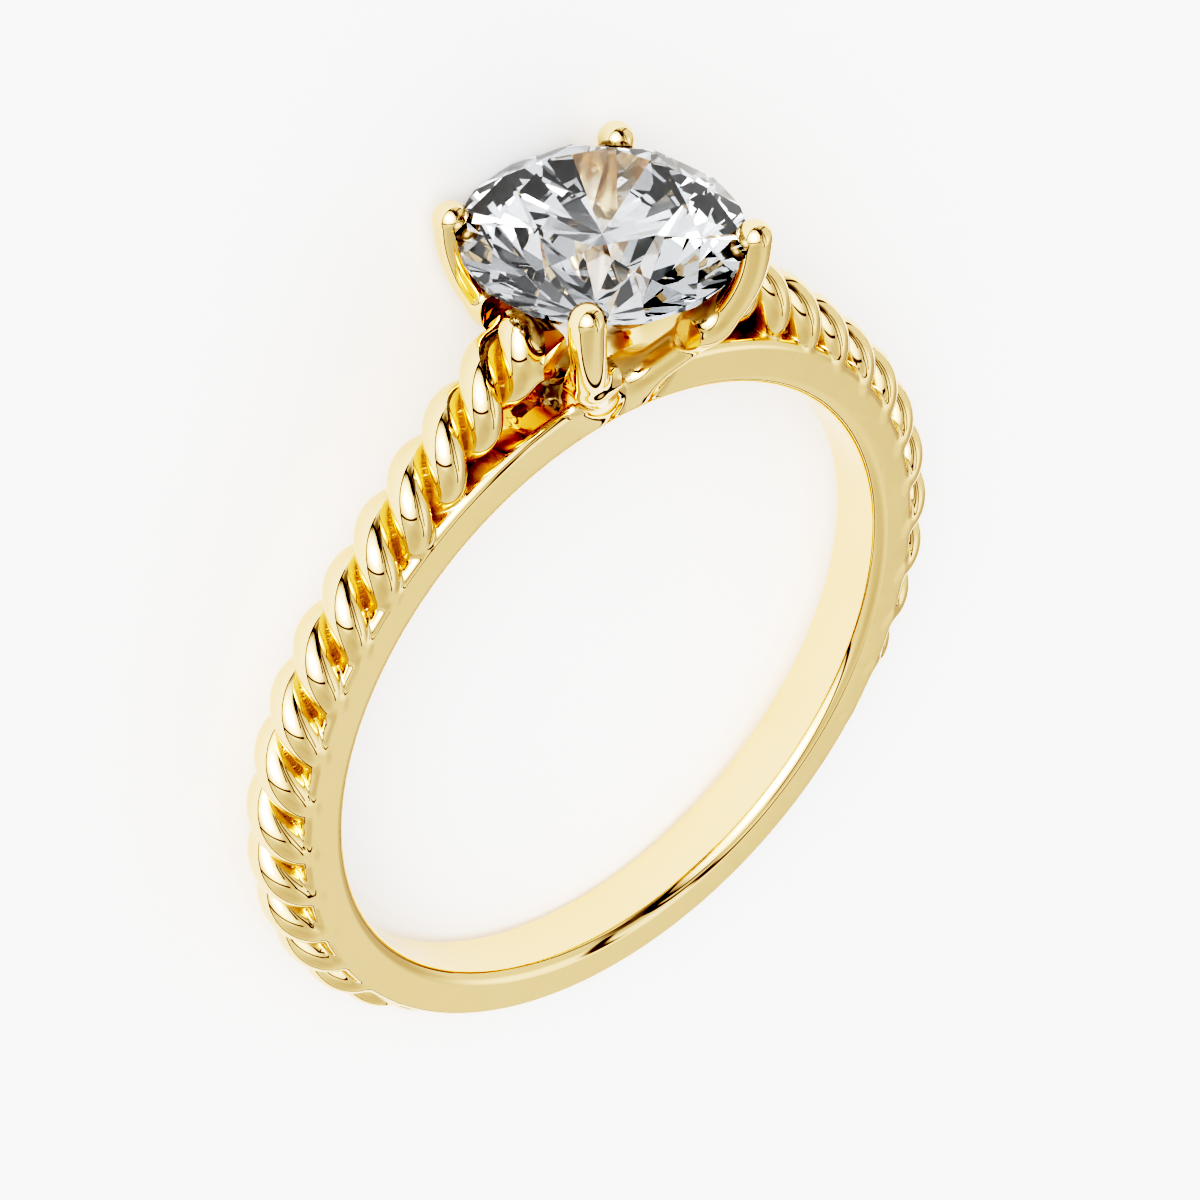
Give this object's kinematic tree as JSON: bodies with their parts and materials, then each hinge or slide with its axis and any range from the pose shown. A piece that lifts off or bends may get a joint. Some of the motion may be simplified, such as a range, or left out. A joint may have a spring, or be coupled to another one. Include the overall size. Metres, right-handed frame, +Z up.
{
  "type": "twisted shank ring",
  "caption": "Solitaire finger ring in polished yellow gold with a round faceted stone in a claw basket and twisted strands along both shoulders of a plain band.",
  "frame": {"origin": "centre of the finger hole", "axes": "the ring lies on its side on a surface: +X runs from the foot of the band towards the stone, +Z is up; the finger hole's axis leans 6.09 degrees from +Z towards -X, because the stone's edge and the foot of the band both touch the surface"},
  "size_m": [0.0237, 0.0206, 0.0065],
  "materials": {
    "gold": "polished yellow gold",
    "diamond": "polished facets, clear"
  },
  "bodies": {
    "root": {"gold_ring": "gold", "center_stone": "diamond"}
  },
  "joints": []
}
